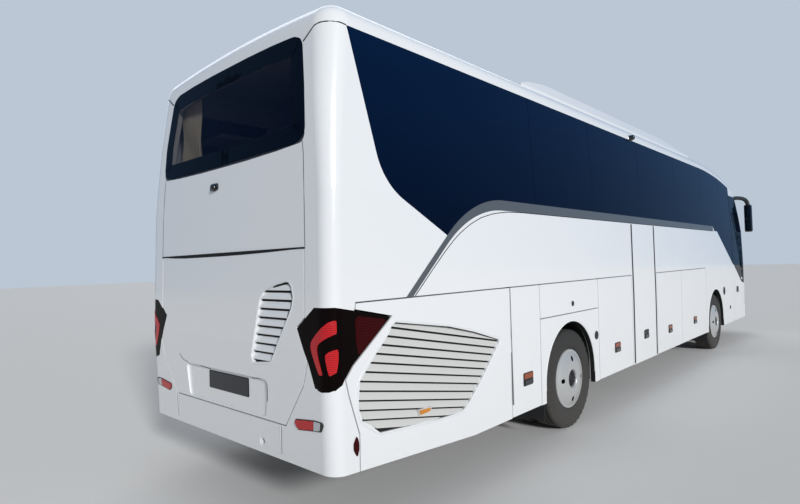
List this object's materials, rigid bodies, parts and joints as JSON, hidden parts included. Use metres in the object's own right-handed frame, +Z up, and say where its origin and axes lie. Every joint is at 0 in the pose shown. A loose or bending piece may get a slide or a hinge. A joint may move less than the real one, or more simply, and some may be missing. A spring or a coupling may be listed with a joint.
{
  "type": "coach bus",
  "caption": "White high-deck coach with a hollow cabin, lifting side flaps, two outward-swinging doors, steered front wheels and twin rear wheels.",
  "frame": {"origin": "on the ground, below the middle of the vehicle's length and width", "axes": "+X forward, +Y to the vehicle's left, +Z up"},
  "size_m": [12.3145, 2.87, 3.7699],
  "materials": {
    "black_plastic": "matte",
    "chassis": "satin",
    "engine_grey": "matte",
    "floor_grey": "matte",
    "lamp_clear": "gloss",
    "lamp_red": "gloss",
    "paint": "gloss",
    "rack_grey": "matte",
    "seat_fabric": "matte",
    "tinted_glass": "gloss",
    "trim_aluminium": "satin",
    "tyre": "matte",
    "wheel_silver": "satin",
    "wheelhouse_grey": "matte"
  },
  "bodies": {
    "coach_body": {"cabin_floor": "floor_grey", "dashboard": "black_plastic", "engine": "engine_grey", "entry_steps": "floor_grey", "frame_rails": "chassis", "front_axle": "chassis", "front_bumper": "paint", "front_frame": "paint", "headlamps": "lamp_clear", "hold_and_bulkheads": "floor_grey", "luggage_racks": "rack_grey", "mirrors": "paint", "rear_axle": "chassis", "rear_bumper": "paint", "rear_frame": "paint", "rear_glass": "tinted_glass", "rear_roof_cap": "paint", "roof": "paint", "roof_unit": "paint", "seats": "seat_fabric", "side_glass_left": "tinted_glass", "side_glass_right": "tinted_glass", "tail_lamps": "lamp_red", "trim_strips": "trim_aluminium", "wall_left": "paint", "wall_right": "paint", "wheelhouses": "wheelhouse_grey", "windscreen": "tinted_glass", "wipers": "black_plastic"},
    "steer_knuckle_left": {"knuckle_left": "chassis"},
    "steer_knuckle_right": {"knuckle_right": "chassis"},
    "front_wheel_left": {"wheel_front_left": "wheel_silver", "tyre_front_left": "tyre"},
    "front_wheel_right": {"wheel_front_right": "wheel_silver", "tyre_front_right": "tyre"},
    "rear_wheels_left": {"wheel_rear_left": "wheel_silver", "tyres_rear_left": "tyre"},
    "rear_wheels_right": {"wheel_rear_right": "wheel_silver", "tyres_rear_right": "tyre"},
    "mid_door_swing": {"mid_door_arms": "chassis"},
    "mid_door_leaf": {"mid_door": "paint"},
    "front_door_swing": {"front_door_arms": "chassis"},
    "front_door_leaf": {"front_door": "paint", "front_door_glass": "tinted_glass"},
    "engine_lid": {"engine_flap": "paint"},
    "radiator_flap_left": {"flap_radiator_left": "paint"},
    "radiator_flap_right": {"flap_radiator_right": "paint"},
    "battery_flap_left": {"flap_battery_left": "paint"},
    "battery_flap_right": {"flap_battery_right": "paint"},
    "arch_flap_left": {"flap_arch_left": "paint"},
    "arch_flap_right": {"flap_arch_right": "paint"},
    "hold_rear_flap_left": {"flap_hold_rear_left": "paint"},
    "hold_rear_flap_right": {"flap_hold_rear_right": "paint"},
    "hold_middle_flap_left": {"flap_hold_middle_left": "paint"},
    "hold_middle_flap_right": {"flap_hold_middle_right": "paint"},
    "hold_front_flap_left": {"flap_hold_front_left": "paint"},
    "hold_front_flap_right": {"flap_hold_front_right": "paint"}
  },
  "joints": [
    {"name": "steer_left", "type": "hinge", "parent": "coach_body", "child": "steer_knuckle_left", "pos_m": [3.2175, 1, 0.51], "axis": [0, 0, 1], "range_deg": [-40, 40]},
    {"name": "steer_right", "type": "hinge", "parent": "coach_body", "child": "steer_knuckle_right", "pos_m": [3.2175, -1, 0.51], "axis": [0, 0, 1], "range_deg": [-40, 40]},
    {"name": "front_wheel_left_spin", "type": "hinge", "parent": "steer_knuckle_left", "child": "front_wheel_left", "pos_m": [3.2175, 1.088, 0.51], "axis": [0, 1, 0], "continuous": true},
    {"name": "front_wheel_right_spin", "type": "hinge", "parent": "steer_knuckle_right", "child": "front_wheel_right", "pos_m": [3.2175, -1.088, 0.51], "axis": [0, 1, 0], "continuous": true},
    {"name": "rear_wheels_left_spin", "type": "hinge", "parent": "coach_body", "child": "rear_wheels_left", "pos_m": [-2.8625, 1.088, 0.51], "axis": [0, 1, 0], "continuous": true},
    {"name": "rear_wheels_right_spin", "type": "hinge", "parent": "coach_body", "child": "rear_wheels_right", "pos_m": [-2.8625, -1.088, 0.51], "axis": [0, 1, 0], "continuous": true},
    {"name": "mid_door_swing", "type": "hinge", "parent": "coach_body", "child": "mid_door_swing", "pos_m": [-0.8675, -1.15883, 1.3], "axis": [0, 0, 1], "range_deg": [-120, 0]},
    {"name": "mid_door_keep", "type": "hinge", "parent": "mid_door_swing", "child": "mid_door_leaf", "pos_m": [-0.36818, -1.185, 1.3], "axis": [0, 0, 1], "range_deg": [0, 120]},
    {"name": "front_door_swing", "type": "hinge", "parent": "coach_body", "child": "front_door_swing", "pos_m": [5.3625, -1.15883, 0.93], "axis": [0, 0, -1], "range_deg": [-120, 0]},
    {"name": "front_door_keep", "type": "hinge", "parent": "front_door_swing", "child": "front_door_leaf", "pos_m": [4.86318, -1.185, 0.93], "axis": [0, 0, -1], "range_deg": [0, 120]},
    {"name": "radiator_flap_right_swing", "type": "hinge", "parent": "coach_body", "child": "radiator_flap_right", "pos_m": [-4.0875, -1.275, 1.2], "axis": [0, 0, 1], "range_deg": [0, 80]},
    {"name": "radiator_flap_left_swing", "type": "hinge", "parent": "coach_body", "child": "radiator_flap_left", "pos_m": [-4.0875, 1.275, 1.2], "axis": [0, 0, -1], "range_deg": [0, 80]},
    {"name": "battery_flap_right_lift", "type": "hinge", "parent": "coach_body", "child": "battery_flap_right", "pos_m": [-3.8225, -1.275, 1.53], "axis": [-1, 0, 0], "range_deg": [0, 85]},
    {"name": "battery_flap_left_lift", "type": "hinge", "parent": "coach_body", "child": "battery_flap_left", "pos_m": [-3.8225, 1.275, 1.53], "axis": [1, 0, 0], "range_deg": [0, 85]},
    {"name": "arch_flap_right_lift", "type": "hinge", "parent": "coach_body", "child": "arch_flap_right", "pos_m": [-2.8775, -1.275, 1.53], "axis": [-1, 0, 0], "range_deg": [0, 85]},
    {"name": "arch_flap_left_lift", "type": "hinge", "parent": "coach_body", "child": "arch_flap_left", "pos_m": [-2.8775, 1.275, 1.53], "axis": [1, 0, 0], "range_deg": [0, 85]},
    {"name": "hold_rear_flap_right_lift", "type": "hinge", "parent": "coach_body", "child": "hold_rear_flap_right", "pos_m": [-1.7, -1.275, 1.53], "axis": [-1, 0, 0], "range_deg": [0, 85]},
    {"name": "hold_rear_flap_left_lift", "type": "hinge", "parent": "coach_body", "child": "hold_rear_flap_left", "pos_m": [-1.7, 1.275, 1.53], "axis": [1, 0, 0], "range_deg": [0, 85]},
    {"name": "hold_middle_flap_right_lift", "type": "hinge", "parent": "coach_body", "child": "hold_middle_flap_right", "pos_m": [0.4, -1.275, 1.53], "axis": [-1, 0, 0], "range_deg": [0, 85]},
    {"name": "hold_middle_flap_left_lift", "type": "hinge", "parent": "coach_body", "child": "hold_middle_flap_left", "pos_m": [0.4, 1.275, 1.53], "axis": [1, 0, 0], "range_deg": [0, 85]},
    {"name": "hold_front_flap_right_lift", "type": "hinge", "parent": "coach_body", "child": "hold_front_flap_right", "pos_m": [1.7545, -1.275, 1.53], "axis": [-1, 0, 0], "range_deg": [0, 85]},
    {"name": "hold_front_flap_left_lift", "type": "hinge", "parent": "coach_body", "child": "hold_front_flap_left", "pos_m": [1.7545, 1.275, 1.53], "axis": [1, 0, 0], "range_deg": [0, 85]},
    {"name": "engine_flap_lift", "type": "hinge", "parent": "coach_body", "child": "engine_lid", "pos_m": [-6.12836, 0, 1.888], "axis": [0, 1, 0], "range_deg": [0, 80]}
  ],
  "couplings": [
    {"joint": "steer_right", "follows": "steer_left", "ratio": 1},
    {"joint": "mid_door_keep", "follows": "mid_door_swing", "ratio": -1},
    {"joint": "front_door_keep", "follows": "front_door_swing", "ratio": -1}
  ]
}
